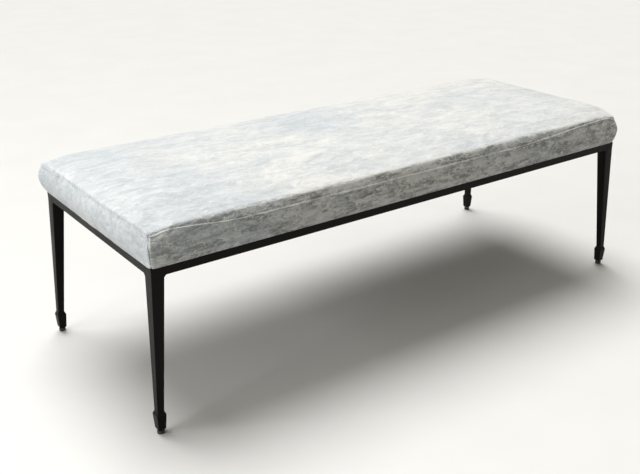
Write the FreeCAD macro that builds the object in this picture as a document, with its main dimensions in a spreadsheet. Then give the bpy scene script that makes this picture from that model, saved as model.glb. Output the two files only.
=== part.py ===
import FreeCAD, Part
import math
import os
import Sketcher

# An upholstered bench: a boxed, crowned cushion screwed to a slim metal frame, which stands on four
# tapered and splayed legs with spade feet and screw-in levelling glides.
# Millimetres. X runs along the length, Y from the front to the back, Z up. The origin is on the floor
# under the middle of the seat.

Vector = FreeCAD.Vector

SIZES = (
    # Frame of square tube
    ("frame_length", 1500, "outside length of the frame"),
    ("frame_depth", 577, "outside depth of the frame"),
    ("frame_height", 394, "floor to the top face of the rails"),
    ("rail_height", 20, "height of a rail"),
    ("rail_width", 20, "width of a rail"),
    ("rail_wall", 1.5, "wall of the rail tube"),
    ("rail_corner", 1.5, "outside corner radius of the rail tube"),
    # Legs
    ("leg_head", 30, "square head of a leg, level with the rails"),
    ("leg_neck", 16, "square lower end of a leg"),
    ("splay_along", 14, "how far the outer face leans out along the length"),
    ("splay_across", 7, "how far the outer face leans out across the depth"),
    ("weld_leg", 4, "leg length of the fillet weld under a rail's end"),
    # Spade feet
    ("foot_top", 58, "floor to the neck on which a leg stands"),
    ("flare_height", 8.5, "height of the flare below the neck"),
    ("foot_shoulder", 23, "widest square of the foot"),
    ("foot_toe", 18.3, "square at the lower end of the foot's long taper"),
    ("toe_height", 13.2, "floor to the lower end of the long taper"),
    ("foot_sole", 12.8, "square underside of the foot"),
    ("sole_height", 9, "floor to the underside of the foot"),
    # Levelling glides
    ("glide_diameter", 17, "disc of the glide that stands on the floor"),
    ("glide_height", 7.2, "height of the disc"),
    ("socket_depth", 5, "depth of the socket in the disc"),
    ("stud_diameter", 8, "diameter of the levelling stud"),
    ("stud_length", 26, "stud above its collar"),
    ("collar_width", 10, "hexagon collar across its flats"),
    ("running_clearance", 0.06, "radial clearance round the stud"),
    ("end_clearance", 0.2, "gap at each end face of the stud and its collar"),
    ("bore_spare", 2, "bore left above the stud's tip"),
    # Brackets that carry the seat
    ("bracket_thickness", 4, "plate of the corner tabs and cross bars"),
    ("tab_reach", 55, "corner tab along each rail"),
    ("tab_cut", 30, "corner cut off a tab, along each edge"),
    ("bar_width", 30, "width of a cross bar"),
    ("bar_spacing", 500, "centre to centre of the two cross bars"),
    ("bolt_inset", 50, "frame's outside to a corner bolt, each way"),
    # Seat bolts
    ("bolt_diameter", 6, "shank of a seat bolt"),
    ("bolt_length", 20, "shank above the head"),
    ("bolt_head_width", 10, "hexagon head across its flats"),
    ("bolt_head_height", 4, "height of the head"),
    ("bolt_clearance", 0.3, "radial clearance of a bolt in plate, deck and cloth"),
    ("thread_clearance", 0.1, "radial clearance of a bolt in its nut"),
    ("nut_width", 10, "hexagon nut across its flats"),
    ("nut_height", 5, "height of the nut"),
    ("nut_clearance", 0.1, "clearance round a nut in its recess"),
    # Seat deck
    ("deck_thickness", 15, "plywood"),
    ("deck_inset", 0.5, "deck's edge inside the frame's outside"),
    ("deck_corner", 17, "corner radius of the deck"),
    # Cushion
    ("cover_thickness", 1.2, "velvet with its backing"),
    ("cover_edge", 1, "cover past the frame where it turns under the deck"),
    ("side_height", 77, "frame to the seam at the corners"),
    ("side_overhang", 13, "cover past the frame at its widest line"),
    ("belly_height", 42, "frame to the widest line"),
    ("corner_draw", 5, "how much the corners are drawn in at the seam"),
    ("corner_radius", 16, "corner of the cushion seen from above"),
    ("corner_growth", 0.3, "how much rounder the level lines get for each mm towards the middle"),
    ("shoulder_radius", 16, "rounding from the side to the top"),
    ("crown", 16, "rise of the top from the shoulder to the middle"),
    ("crown_reach", 180, "shoulder to the level middle of the top"),
    ("seam_dip", 15, "how far the long seams dip between the corners"),
    ("dip_run", 300, "length of seam that climbs to each corner"),
    ("turn_in", 42, "cover turned under the deck, from the frame's outside"),
    ("foam_height", 63.5, "thickness of the foam block"),
    ("foam_inset", 5, "foam inside the frame's outside"),
    ("foam_corner", 15, "corner radius of the foam block"),
    ("wrap_skirt", 9, "fibre wrap lapped down over the deck's edge"),
    ("layer_gap", 0.3, "gap between the layers of the cushion"),
    # Underside cloth and staples
    ("dust_thickness", 0.4, "black dust cloth"),
    ("dust_inset", 32, "edge of the dust cloth, from the frame's outside"),
    ("cover_staple_inset", 26, "cover staples, from the frame's outside"),
    ("dust_staple_inset", 37, "dust cloth staples, from the frame's outside"),
    ("cover_staple_pitch", 140, "spacing of the cover staples"),
    ("dust_staple_pitch", 200, "spacing of the dust cloth staples"),
    ("staple_crown", 10, "width of a staple"),
    ("staple_leg", 8, "length of a staple"),
    ("staple_wire", 0.7, "square wire of a staple"),
    ("staple_room", 3, "least distance from a staple to a bracket"),
)

doc = FreeCAD.newDocument("upholstered_bench")
sheet = doc.addObject("Spreadsheet::Sheet", "Sizes")
for row, (alias, number, note) in enumerate(SIZES, start=1):
    sheet.set(f"A{row}", note)
    sheet.set(f"B{row}", str(number))
    sheet.setAlias(f"B{row}", alias)
doc.recompute()


def size(alias):
    """A size from the sheet, in millimetres."""
    return float(sheet.get(alias))


# Places that several pieces share, as expressions on the sheet
FOOT_X = "(Sizes.frame_length / 2 + Sizes.splay_along - Sizes.leg_neck / 2)"
FOOT_Y = "(Sizes.frame_depth / 2 + Sizes.splay_across - Sizes.leg_neck / 2)"
BRACKET_TOP = "(Sizes.frame_height - Sizes.dust_thickness)"
BOLT_HOLE = "(Sizes.bolt_diameter / 2 + Sizes.bolt_clearance)"
COLLAR_BASE = "(Sizes.glide_height + Sizes.end_clearance)"
STUD_FOOT = "(Sizes.glide_height - Sizes.socket_depth + Sizes.end_clearance)"
COLLAR_TOP = "(Sizes.sole_height - Sizes.end_clearance)"
CORNERS = {
    "front_left": (-1, -1),
    "front_right": (1, -1),
    "back_left": (-1, 1),
    "back_right": (1, 1),
}
SIDES = (-1, 1)

# Node names in the order in which they are written
nodes = []


def new_body(label, x="0", y="0", z="0"):
    """An empty body with its own place."""
    body = doc.addObject("PartDesign::Body", label)
    body.Label = label
    body.setExpression("Placement.Base.x", x)
    body.setExpression("Placement.Base.y", y)
    body.setExpression("Placement.Base.z", z)
    doc.recompute()
    nodes.append(body)
    return body


def new_sketch(body, name, role="XY_Plane", offset="0"):
    """A sketch on one of the body's own origin planes, moved along that plane's normal."""
    plane = next(item for item in body.Origin.OriginFeatures if item.Role == role)
    sketch = body.newObject("Sketcher::SketchObject", name)
    sketch.AttachmentSupport = [(plane, "")]
    sketch.MapMode = "FlatFace"
    sketch.setExpression("AttachmentOffset.Base.z", offset)
    return sketch


def bind(sketch, kind, first, expression, name, second=None):
    """A dimension of the sketch whose value follows an expression on the sheet."""
    number = float(sketch.evalExpression(expression))
    if second is None:
        constraint = Sketcher.Constraint(kind, first, number)
    else:
        constraint = Sketcher.Constraint(kind, *first, *second, number)
    index = sketch.addConstraint(constraint)
    sketch.renameConstraint(index, name)
    sketch.setExpression("Constraints." + name, expression)


def draw_polygon(sketch, corners):
    """A closed outline through corners given as pairs of expressions."""
    spots = [Vector(*(float(sketch.evalExpression(text)) for text in corner), 0) for corner in corners]
    count = len(spots)
    start = sketch.GeometryCount
    for index in range(count):
        sketch.addGeometry(Part.LineSegment(spots[index], spots[(index + 1) % count]), False)
    for index in range(count):
        after = start + (index + 1) % count
        sketch.addConstraint(Sketcher.Constraint("Coincident", start + index, 2, after, 1))
    for index, (across, up) in enumerate(corners):
        line = start + index
        bind(sketch, "DistanceX", (-1, 1), across, f"across{line}", (line, 1))
        bind(sketch, "DistanceY", (-1, 1), up, f"up{line}", (line, 1))


def draw_rectangle(sketch, left, right, low, high):
    """A rectangle between two distances across and two distances up."""
    draw_polygon(sketch, ((left, low), (right, low), (right, high), (left, high)))


def draw_square(sketch, width):
    """A square about the sketch's origin."""
    draw_rectangle(sketch, f"-{width} / 2", f"{width} / 2", f"-{width} / 2", f"{width} / 2")


def draw_circle(sketch, radius, across="0", up="0"):
    """A circle about a spot given as two expressions."""
    centre = Vector(float(sketch.evalExpression(across)), float(sketch.evalExpression(up)), 0)
    start = float(sketch.evalExpression(radius))
    ring = sketch.addGeometry(Part.Circle(centre, Vector(0, 0, 1), start), False)
    bind(sketch, "Radius", ring, radius, f"radius{ring}")
    bind(sketch, "DistanceX", (-1, 1), across, f"across{ring}", (ring, 3))
    bind(sketch, "DistanceY", (-1, 1), up, f"up{ring}", (ring, 3))


def hexagon(width, across="0", up="0"):
    """The corners of a hexagon, given its width across the flats and its middle as expressions."""
    reach = f"{width} / 2 / cos(30 deg)"
    turns = range(0, 360, 60)
    return [(f"{across} + {reach} * cos({turn} deg)", f"{up} + {reach} * sin({turn} deg)") for turn in turns]


def pad(body, sketch, length, side="One side", down=False):
    """The sketch's outline made thick."""
    feature = body.newObject("PartDesign::Pad", sketch.Name + "_pad")
    feature.Profile = sketch
    feature.SideType = side
    feature.Reversed = down
    feature.setExpression("Length", length)
    doc.recompute()
    return feature


def pocket(body, sketch, depth, side="One side", up=False):
    """The sketch's outline cut away, with a test that it has cut something."""
    before = body.Shape.Volume
    feature = body.newObject("PartDesign::Pocket", sketch.Name + "_pocket")
    feature.Profile = sketch
    feature.SideType = side
    feature.Reversed = up
    feature.setExpression("Length", depth)
    doc.recompute()
    if body.Shape.Volume >= before:
        raise RuntimeError(f"{feature.Name} cuts nothing")
    return feature


def round_edges(body, feature, radius, wanted):
    """The feature's edges for which wanted(edge) is true, rounded."""
    names = [f"Edge{index}" for index, edge in enumerate(feature.Shape.Edges, start=1) if wanted(edge)]
    fillet = body.newObject("PartDesign::Fillet", body.Name + "_rounding")
    fillet.Base = (feature, names)
    fillet.setExpression("Radius", radius)
    doc.recompute()
    return fillet


def runs_along(direction):
    """A test for straight edges that run along a direction."""
    return lambda edge: abs(abs(edge.tangentAt(edge.FirstParameter).dot(direction)) - 1) < 1e-6


def make_rail(label, role, length, x, y, inward):
    """One rail: a square tube between two leg heads. Its outer top edge is its origin."""
    body = new_body(label, x, y, "Sizes.frame_height")
    outside = new_sketch(body, label + "_outside", role)
    draw_rectangle(outside, "0", f"{inward} * Sizes.rail_width", "-Sizes.rail_height", "0")
    tube = pad(body, outside, length, "Symmetric")
    along = Vector(1, 0, 0) if role == "YZ_Plane" else Vector(0, 1, 0)
    round_edges(body, tube, "Sizes.rail_corner", runs_along(along))
    inside = new_sketch(body, label + "_inside", role)
    draw_rectangle(
        inside,
        f"{inward} * Sizes.rail_wall",
        f"{inward} * (Sizes.rail_width - Sizes.rail_wall)",
        "-Sizes.rail_height + Sizes.rail_wall",
        "-Sizes.rail_wall",
    )
    pocket(body, inside, length, "Symmetric")


def make_rails():
    """The two long rails and the two end rails."""
    for label, side in (("front_rail", -1), ("back_rail", 1)):
        length = "Sizes.frame_length - 2 * Sizes.leg_head"
        make_rail(label, "YZ_Plane", length, "0", f"{side} * Sizes.frame_depth / 2", -side)
    for label, side in (("left_rail", -1), ("right_rail", 1)):
        length = "Sizes.frame_depth - 2 * Sizes.leg_head"
        make_rail(label, "XZ_Plane", length, f"{side} * Sizes.frame_length / 2", "0", -side)


def make_leg(corner, right, back):
    """One leg: an upright head as high as the rails, then a taper that leans outwards both ways.
    Its origin is the outer top corner of the head."""
    label = "leg_" + corner
    body = new_body(
        label,
        f"{right} * Sizes.frame_length / 2",
        f"{back} * Sizes.frame_depth / 2",
        "Sizes.frame_height",
    )
    bottom = "Sizes.foot_top - Sizes.frame_height"

    # The leg as seen from the front, thick enough for its splay across the depth
    front = new_sketch(body, label + "_front", "XZ_Plane")
    outline = (
        ("0", "0"),
        ("-Sizes.leg_head", "0"),
        ("-Sizes.leg_head", "-Sizes.rail_height"),
        ("Sizes.splay_along - Sizes.leg_neck", bottom),
        ("Sizes.splay_along", bottom),
        ("0", "-Sizes.rail_height"),
    )
    draw_polygon(front, [(f"{right} * ({across})", up) for across, up in outline])
    pad(body, front, "2 * (Sizes.leg_head + Sizes.splay_across)", "Symmetric")

    # What the leg leaves free as seen from the end, cut away on its outer and its inner side
    ends = new_sketch(body, label + "_ends", "YZ_Plane")
    far = "Sizes.leg_head + Sizes.splay_across"
    outer = (("0", "0"), ("0", "-Sizes.rail_height"), ("Sizes.splay_across", bottom), (far, bottom), (far, "0"))
    inner = (
        ("-Sizes.leg_head", "0"),
        ("-Sizes.leg_head", "-Sizes.rail_height"),
        ("Sizes.splay_across - Sizes.leg_neck", bottom),
        (f"-({far})", bottom),
        (f"-({far})", "0"),
    )
    for corners in (outer, inner):
        draw_polygon(ends, [(f"{back} * ({across})", up) for across, up in corners])
    pocket(body, ends, "2 * (Sizes.leg_head + Sizes.splay_along)", "Symmetric")


def make_foot(corner, right, back):
    """One spade foot: it flares below the neck, tapers to the toe and is bevelled in to its sole,
    with a bore for the levelling stud."""
    label = "spade_foot_" + corner
    body = new_body(label, f"{right} * {FOOT_X}", f"{back} * {FOOT_Y}")
    side = (
        ("Sizes.foot_sole / 2", "Sizes.sole_height"),
        ("Sizes.foot_toe / 2", "Sizes.toe_height"),
        ("Sizes.foot_shoulder / 2", "Sizes.foot_top - Sizes.flare_height"),
        ("Sizes.leg_neck / 2", "Sizes.foot_top"),
    )

    # The foot as seen from the front, made thicker than it is
    front = new_sketch(body, label + "_front", "XZ_Plane")
    draw_polygon(front, [(f"-({across})", up) for across, up in side] + list(reversed(side)))
    pad(body, front, "2 * Sizes.foot_shoulder", "Symmetric")

    # What it leaves free as seen from the end
    ends = new_sketch(body, label + "_ends", "YZ_Plane")
    beyond = (("Sizes.foot_shoulder", "Sizes.foot_top"), ("Sizes.foot_shoulder", "Sizes.sole_height"))
    for sign in ("", "-"):
        draw_polygon(ends, [(f"{sign}({across})", up) for across, up in side + beyond])
    pocket(body, ends, "2 * Sizes.foot_shoulder", "Symmetric")

    bore = new_sketch(body, label + "_bore", offset="Sizes.sole_height")
    draw_circle(bore, "Sizes.stud_diameter / 2 + Sizes.running_clearance")
    pocket(body, bore, "Sizes.stud_length + Sizes.bore_spare", up=True)


def make_glide(corner, right, back):
    """One levelling glide: a disc that stands on the floor, and a stud with a hexagon collar that
    turns in the disc's socket and screws into the foot."""
    label = "glide_disc_" + corner
    body = new_body(label, f"{right} * {FOOT_X}", f"{back} * {FOOT_Y}")
    profile = new_sketch(body, label + "_profile", "XZ_Plane")
    rim = "Sizes.glide_diameter / 2"
    socket = "Sizes.stud_diameter / 2 + Sizes.running_clearance"
    floor = "Sizes.glide_height - Sizes.socket_depth"
    draw_polygon(
        profile,
        (
            ("0", "0"),
            (rim, "0"),
            (rim, "Sizes.glide_height"),
            (socket, "Sizes.glide_height"),
            (socket, floor),
            ("0", floor),
        ),
    )
    disc = body.newObject("PartDesign::Revolution", label + "_turned")
    disc.Profile = profile
    disc.ReferenceAxis = (profile, ["V_Axis"])
    disc.Angle = 360
    doc.recompute()

    label = "glide_stud_" + corner
    body = new_body(label, f"{right} * {FOOT_X}", f"{back} * {FOOT_Y}")
    shank = new_sketch(body, label + "_shank", offset=STUD_FOOT)
    draw_circle(shank, "Sizes.stud_diameter / 2")
    pad(body, shank, f"{COLLAR_TOP} + Sizes.stud_length - {STUD_FOOT}")
    collar = new_sketch(body, label + "_collar", offset=COLLAR_BASE)
    draw_polygon(collar, hexagon("Sizes.collar_width"))
    pad(body, collar, f"{COLLAR_TOP} - {COLLAR_BASE}")


def make_corner_tab(corner, right, back):
    """One corner tab: a plate welded into the corner of the rails and notched round the leg's head,
    with the hole for a seat bolt."""
    label = "corner_tab_" + corner
    body = new_body(
        label,
        f"{right} * Sizes.frame_length / 2",
        f"{back} * Sizes.frame_depth / 2",
        BRACKET_TOP,
    )
    plate = new_sketch(body, label + "_plate")
    rail = "Sizes.rail_width"
    head = "Sizes.leg_head"
    tip = "Sizes.rail_width + Sizes.tab_reach"
    cut = "Sizes.rail_width + Sizes.tab_reach - Sizes.tab_cut"
    outline = ((rail, head), (head, head), (head, rail), (tip, rail), (tip, cut), (cut, tip), (rail, tip))
    draw_polygon(plate, [(f"{-right} * ({across})", f"{-back} * ({up})") for across, up in outline])
    pad(body, plate, "Sizes.bracket_thickness", down=True)
    hole = new_sketch(body, label + "_hole")
    draw_circle(hole, BOLT_HOLE, f"{-right} * Sizes.bolt_inset", f"{-back} * Sizes.bolt_inset")
    pocket(body, hole, "Sizes.bracket_thickness")


def make_cross_bar(label, right):
    """One cross bar: a flat bar welded between the long rails, with a bolt hole in its middle."""
    body = new_body(label, f"{right} * Sizes.bar_spacing / 2", "0", BRACKET_TOP)
    plate = new_sketch(body, label + "_plate")
    draw_rectangle(
        plate,
        "-Sizes.bar_width / 2",
        "Sizes.bar_width / 2",
        "-Sizes.frame_depth / 2 + Sizes.rail_width",
        "Sizes.frame_depth / 2 - Sizes.rail_width",
    )
    pad(body, plate, "Sizes.bracket_thickness", down=True)
    hole = new_sketch(body, label + "_hole")
    draw_circle(hole, BOLT_HOLE)
    pocket(body, hole, "Sizes.bracket_thickness")


def bolt_spots():
    """Where the seat bolts stand, as pairs of expressions: one in each corner and in each bar."""
    spots = [(f"{right} * Sizes.bar_spacing / 2", "0") for right in SIDES]
    for right, back in CORNERS.values():
        across = f"{right} * (Sizes.frame_length / 2 - Sizes.bolt_inset)"
        up = f"{back} * (Sizes.frame_depth / 2 - Sizes.bolt_inset)"
        spots.append((across, up))
    return spots


def make_deck():
    """The plywood deck with its bolt holes, each with a recess in the upper face that keeps a nut
    from turning. Its origin is its underside."""
    body = new_body("seat_deck", z="Sizes.frame_height + Sizes.cover_thickness")
    board = new_sketch(body, "deck_board")
    half_length = "(Sizes.frame_length / 2 - Sizes.deck_inset)"
    half_depth = "(Sizes.frame_depth / 2 - Sizes.deck_inset)"
    draw_rectangle(board, "-" + half_length, half_length, "-" + half_depth, half_depth)
    panel = pad(body, board, "Sizes.deck_thickness")
    round_edges(body, panel, "Sizes.deck_corner", runs_along(Vector(0, 0, 1)))
    holes = new_sketch(body, "deck_holes", offset="Sizes.deck_thickness")
    for across, up in bolt_spots():
        draw_circle(holes, BOLT_HOLE, across, up)
    pocket(body, holes, "Sizes.deck_thickness")
    recesses = new_sketch(body, "deck_recesses", offset="Sizes.deck_thickness")
    for across, up in bolt_spots():
        draw_polygon(recesses, hexagon("(Sizes.nut_width + 2 * Sizes.nut_clearance)", across, up))
    pocket(body, recesses, "Sizes.nut_height")


def add_shape(label, shape, height=0):
    """A piece whose shape is worked out here, lifted to its height."""
    piece = doc.addObject("Part::Feature", label)
    piece.Label = label
    piece.Shape = shape
    piece.Placement = FreeCAD.Placement(Vector(0, 0, height), FreeCAD.Rotation())
    nodes.append(piece)
    return piece


def at_bolts(solid):
    """Copies of a solid at every seat bolt, as one group."""
    copies = []
    for across, up in bolt_spots():
        copy = solid.copy()
        spot = Vector(sheet.evalExpression(across), sheet.evalExpression(up), 0)
        copy.translate(spot)
        copies.append(copy)
    return Part.makeCompound(copies)


def hexagon_bar(width, height):
    """A hexagon bar, given its width across the flats."""
    corners = [Vector(*map(sheet.evalExpression, corner)) for corner in hexagon(str(width))]
    return Part.Face(Part.makePolygon(corners + corners[:1])).extrude(Vector(0, 0, height))


def make_fasteners():
    """Seat bolts and their nuts, each kind a group of separate solids."""
    shank = size("bolt_diameter") / 2
    plate_foot = float(sheet.evalExpression(BRACKET_TOP)) - size("bracket_thickness")
    head = hexagon_bar(size("bolt_head_width"), size("bolt_head_height"))
    stem = Part.makeCylinder(shank, size("bolt_length"), Vector(0, 0, size("bolt_head_height")))
    bolt = head.fuse(stem).removeSplitter()
    add_shape("seat_bolts", at_bolts(bolt), plate_foot - size("bolt_head_height"))

    thread = Part.makeCylinder(shank + size("thread_clearance"), size("nut_height"))
    nut = hexagon_bar(size("nut_width"), size("nut_height")).cut(thread)
    deck_top = size("frame_height") + size("cover_thickness") + size("deck_thickness")
    add_shape("deck_nuts", at_bolts(nut), deck_top - size("nut_height"))


def make_welds():
    """Fillet welds in the eight inner corners between a rail's underside and a leg."""
    leg = size("weld_leg")
    fall = size("frame_height") - size("rail_height") - size("foot_top")
    narrowing = size("leg_head") - size("leg_neck")
    beads = []
    # Along the length, then across the depth: the splay and the frame's half size in that direction
    for splay, half, other_half, turned in (
        (size("splay_along"), size("frame_length") / 2, size("frame_depth") / 2, False),
        (size("splay_across"), size("frame_depth") / 2, size("frame_length") / 2, True),
    ):
        lean = (splay + narrowing) / fall
        face = half - size("leg_head")
        profile = ((face, 0), (face - leg, 0), (face + lean * leg, -leg))
        corners = [Vector(across, 0, up) for across, up in profile]
        outline = Part.makePolygon(corners + corners[:1])
        bead = Part.Face(outline).extrude(Vector(0, size("rail_width"), 0))
        bead.translate(Vector(0, -other_half, 0))
        if turned:
            bead.rotate(Vector(), Vector(0, 0, 1), 90)
        for half in (bead, bead.mirror(Vector(), Vector(1, 0, 0))):
            beads += [half, half.mirror(Vector(), Vector(0, 1, 0))]
    add_shape("corner_welds", Part.makeCompound(beads), size("frame_height") - size("rail_height"))


# Cushion. Heights here are above the frame's top face, and an overhang is a distance past the frame.
# Its section has this many straight runs up the side, round the shoulder and over the crown, and its
# level lines have this many round each corner, which takes up no more than a share of the half depth.
SIDE_STEPS = 4
SHOULDER_STEPS = 2
CROWN_STEPS = 4
CORNER_STEPS = 4
CORNER_SHARE = 0.8


def side_curve(height):
    """Overhang of the cover's side at a height: a parabola, drawn in at the deck and at the seam."""
    swell = size("side_overhang") - size("cover_edge")
    belly = size("belly_height")
    return size("side_overhang") - swell * ((height - belly) / belly) ** 2


def side_profile(height):
    """Overhang of the cover's side at a height, on the straight runs that follow the parabola."""
    run = size("side_height") / SIDE_STEPS
    low = run * min(int(height / run), SIDE_STEPS - 1)
    share = (height - low) / run
    return side_curve(low) + share * (side_curve(low + run) - side_curve(low))


def cushion_profile(offset, floor, skip):
    """Half section through the cushion as pairs of overhang and height, from the floor up to the
    level middle of the top, with every point moved inwards by the offset. A skip of 2 leaves out
    every other point, for the layers inside."""
    seam = size("side_height")
    belly = size("belly_height")
    swell = size("side_overhang") - size("cover_edge")
    slope = 2 * size("crown") / size("crown_reach")
    points = []

    # Side
    for step in range(0, SIDE_STEPS + 1, skip):
        height = seam * step / SIDE_STEPS
        lean = math.atan(2 * swell * (height - belly) / belly**2)
        points.append((side_profile(height), height, lean))

    # Shoulder, as an arc that starts along the side and ends along the top
    radius = size("shoulder_radius")
    start = points[-1][2]
    end = math.pi / 2 - math.atan(slope)
    centre_over = side_profile(seam) - radius * math.cos(start)
    centre_up = seam - radius * math.sin(start)
    for step in range(skip, SHOULDER_STEPS + 1, skip):
        lean = start + (end - start) * step / SHOULDER_STEPS
        points.append((centre_over + radius * math.cos(lean), centre_up + radius * math.sin(lean), lean))

    # Crown, as a parabola that ends level
    edge, rim = points[-1][:2]
    for step in range(skip, CROWN_STEPS + 1, skip):
        share = step / CROWN_STEPS
        lean = math.pi / 2 - math.atan(slope * (1 - share))
        height = rim + size("crown") * (1 - (1 - share) ** 2)
        points.append((edge - size("crown_reach") * share, height, lean))

    moved = [(over - offset * math.cos(lean), up - offset * math.sin(lean)) for over, up, lean in points]
    above = [point for point in moved if point[1] > floor + size("cover_thickness")]
    return [(side_profile(floor) - offset, floor)] + above


def cushion_outline(overhang, height, corner, skip):
    """A rounded rectangle at a height. Its sides bow out between the corners, which are drawn in
    more and more from the deck to the seam. A skip of 2 leaves out every other point of a corner."""
    draw = size("corner_draw") * min(1, height / size("side_height"))
    side_x = size("frame_length") / 2 + overhang
    side_y = size("frame_depth") / 2 + overhang
    corner = min(corner, CORNER_SHARE * (side_y - draw))
    centre_x = side_x - draw - corner
    centre_y = side_y - draw - corner
    arc = []
    for step in range(0, CORNER_STEPS + 1, skip):
        turn = math.pi / 2 * step / CORNER_STEPS
        arc.append((centre_x + corner * math.cos(turn), centre_y + corner * math.sin(turn)))
    half = [(side_x, 0)] + arc + [(0, side_y)] + [(-across, up) for across, up in reversed(arc)]
    spots = half + [(-across, -up) for across, up in half]
    return Part.makePolygon([Vector(across, up, height) for across, up in spots + spots[:1]])


def cushion_form(offset, floor, skip=1):
    """The cushion's body as a closed solid, moved inwards by the offset, standing on a floor."""
    sections = []
    for overhang, height in cushion_profile(offset, floor, skip):
        inset = max(0, side_profile(size("side_height")) - offset - overhang)
        corner = size("corner_radius") - offset + size("corner_growth") * inset
        sections.append(cushion_outline(overhang, height, corner, skip))
    return Part.makeLoft(sections, True, True)


def slab(half_x, half_y, low, high, corner=0):
    """A block about the bench's middle, with upright corners of a radius."""
    block = Part.makeBox(2 * half_x, 2 * half_y, high - low, Vector(-half_x, -half_y, low))
    if corner:
        block = block.makeFillet(corner, [edge for edge in block.Edges if runs_along(Vector(0, 0, 1))(edge)])
    return block


def above_seam():
    """The space above the seam: level at the ends, and dipping between them on the long sides."""
    far_x = size("frame_length")
    far_y = size("frame_depth")
    end = size("frame_length") / 2
    flat = end - size("dip_run")
    seam = size("side_height")
    dip = seam - size("seam_dip")
    radius = (size("dip_run") ** 2 + size("seam_dip") ** 2) / (2 * size("seam_dip"))
    half_turn = math.asin(size("dip_run") / radius) / 2
    bend_x = flat + radius * math.sin(half_turn)
    bend_z = dip + radius * (1 - math.cos(half_turn))
    top = seam + size("shoulder_radius") + 2 * size("crown")

    def spot(across, up):
        return Vector(across, -far_y, up)

    edges = [
        Part.LineSegment(spot(-far_x, seam), spot(-end, seam)),
        Part.Arc(spot(-end, seam), spot(-bend_x, bend_z), spot(-flat, dip)),
        Part.LineSegment(spot(-flat, dip), spot(flat, dip)),
        Part.Arc(spot(flat, dip), spot(bend_x, bend_z), spot(end, seam)),
        Part.LineSegment(spot(end, seam), spot(far_x, seam)),
        Part.LineSegment(spot(far_x, seam), spot(far_x, top)),
        Part.LineSegment(spot(far_x, top), spot(-far_x, top)),
        Part.LineSegment(spot(-far_x, top), spot(-far_x, seam)),
    ]
    outline = Part.Wire([edge.toShape() for edge in edges])
    return Part.Face(outline).extrude(Vector(0, 2 * far_y, 0))


def band_space(side):
    """The wedge of space that holds one boxing band, cut off at 45 degrees through the corners."""
    half_x = size("frame_length") / 2
    half_y = size("frame_depth") / 2
    out = size("frame_depth")
    if side in ("front", "back"):
        back = 1 if side == "back" else -1
        plan = (
            (-half_x - out, back * (half_y + out)),
            (half_x + out, back * (half_y + out)),
            (half_x - half_y, 0),
            (-half_x + half_y, 0),
        )
    else:
        right = 1 if side == "right" else -1
        plan = (
            (right * (half_x + out), -half_y - out),
            (right * (half_x + out), half_y + out),
            (right * (half_x - half_y), 0),
        )
    low = -size("cover_thickness")
    corners = [Vector(across, up, low) for across, up in plan]
    return Part.Face(Part.makePolygon(corners + corners[:1])).extrude(Vector(0, 0, 2 * size("side_height")))


def make_cushion():
    """Foam, fibre wrap, the cover's top panel and its four boxing bands."""
    base = size("frame_height")
    cover = size("cover_thickness")
    gap = size("layer_gap")
    half_x = size("frame_length") / 2
    half_y = size("frame_depth") / 2
    deck_top = cover + size("deck_thickness")

    shell = cushion_form(0, 0).cut(cushion_form(cover, cover))
    opening = slab(half_x - size("turn_in"), half_y - size("turn_in"), -cover, 2 * cover)
    shell = shell.cut(opening)
    top_space = above_seam()
    add_shape("cover_top", shell.common(top_space), base)
    bands = shell.cut(top_space)
    for side in ("front", "back", "left", "right"):
        add_shape("boxing_" + side, bands.common(band_space(side)), base)

    foam_x = half_x - size("foam_inset")
    foam_y = half_y - size("foam_inset")
    foam_top = deck_top + size("foam_height")
    corner = size("foam_corner")
    add_shape("foam_core", slab(foam_x, foam_y, deck_top, foam_top, corner), base)

    skirt = deck_top - size("wrap_skirt")
    reach = gap - size("deck_inset")
    deck_room = slab(half_x + reach, half_y + reach, -cover, deck_top + gap)
    foam_room = slab(foam_x + gap, foam_y + gap, deck_top, foam_top + gap, corner + gap)
    wrap = cushion_form(cover + gap, skirt, 2).cut(deck_room).cut(foam_room)
    add_shape("fibre_wrap", wrap, base)


def staple(under):
    """One staple across X with its crown under a height and its legs up through the cloth."""
    wire = size("staple_wire")
    half = size("staple_crown") / 2
    tip = under - wire + size("staple_leg")
    profile = (
        (-half, under - wire),
        (half, under - wire),
        (half, tip),
        (half - wire, tip),
        (half - wire, under),
        (wire - half, under),
        (wire - half, tip),
        (-half, tip),
    )
    corners = [Vector(across, -wire / 2, up) for across, up in profile]
    return Part.Face(Part.makePolygon(corners + corners[:1])).extrude(Vector(0, wire, 0))


def staple_places(half_run, pitch):
    """Evenly spaced places along a side, between the corner tabs."""
    clear = size("rail_width") + size("tab_reach") + size("staple_room") + size("staple_crown") / 2
    reach = half_run - clear
    count = max(1, int(2 * reach / pitch))
    return [-reach + 2 * reach * index / count for index in range(count + 1)]


def clear_of_bars(across):
    """True where a staple on a long side misses both cross bars."""
    room = (size("bar_width") + size("staple_crown")) / 2 + size("staple_room")
    return abs(abs(across) - size("bar_spacing") / 2) > room


def make_staples(label, inset, pitch, under):
    """A ring of staples at one distance from the frame's outside."""
    one = staple(under)
    half_x = size("frame_length") / 2
    half_y = size("frame_depth") / 2
    group = []
    for side in SIDES:
        for across in filter(clear_of_bars, staple_places(half_x, pitch)):
            copy = one.copy()
            copy.translate(Vector(across, side * (half_y - inset), 0))
            group.append(copy)
        for up in staple_places(half_y, pitch):
            copy = one.copy()
            copy.rotate(Vector(), Vector(0, 0, 1), 90)
            copy.translate(Vector(side * (half_x - inset), up, 0))
            group.append(copy)
    add_shape(label, Part.makeCompound(group), size("frame_height"))


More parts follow.
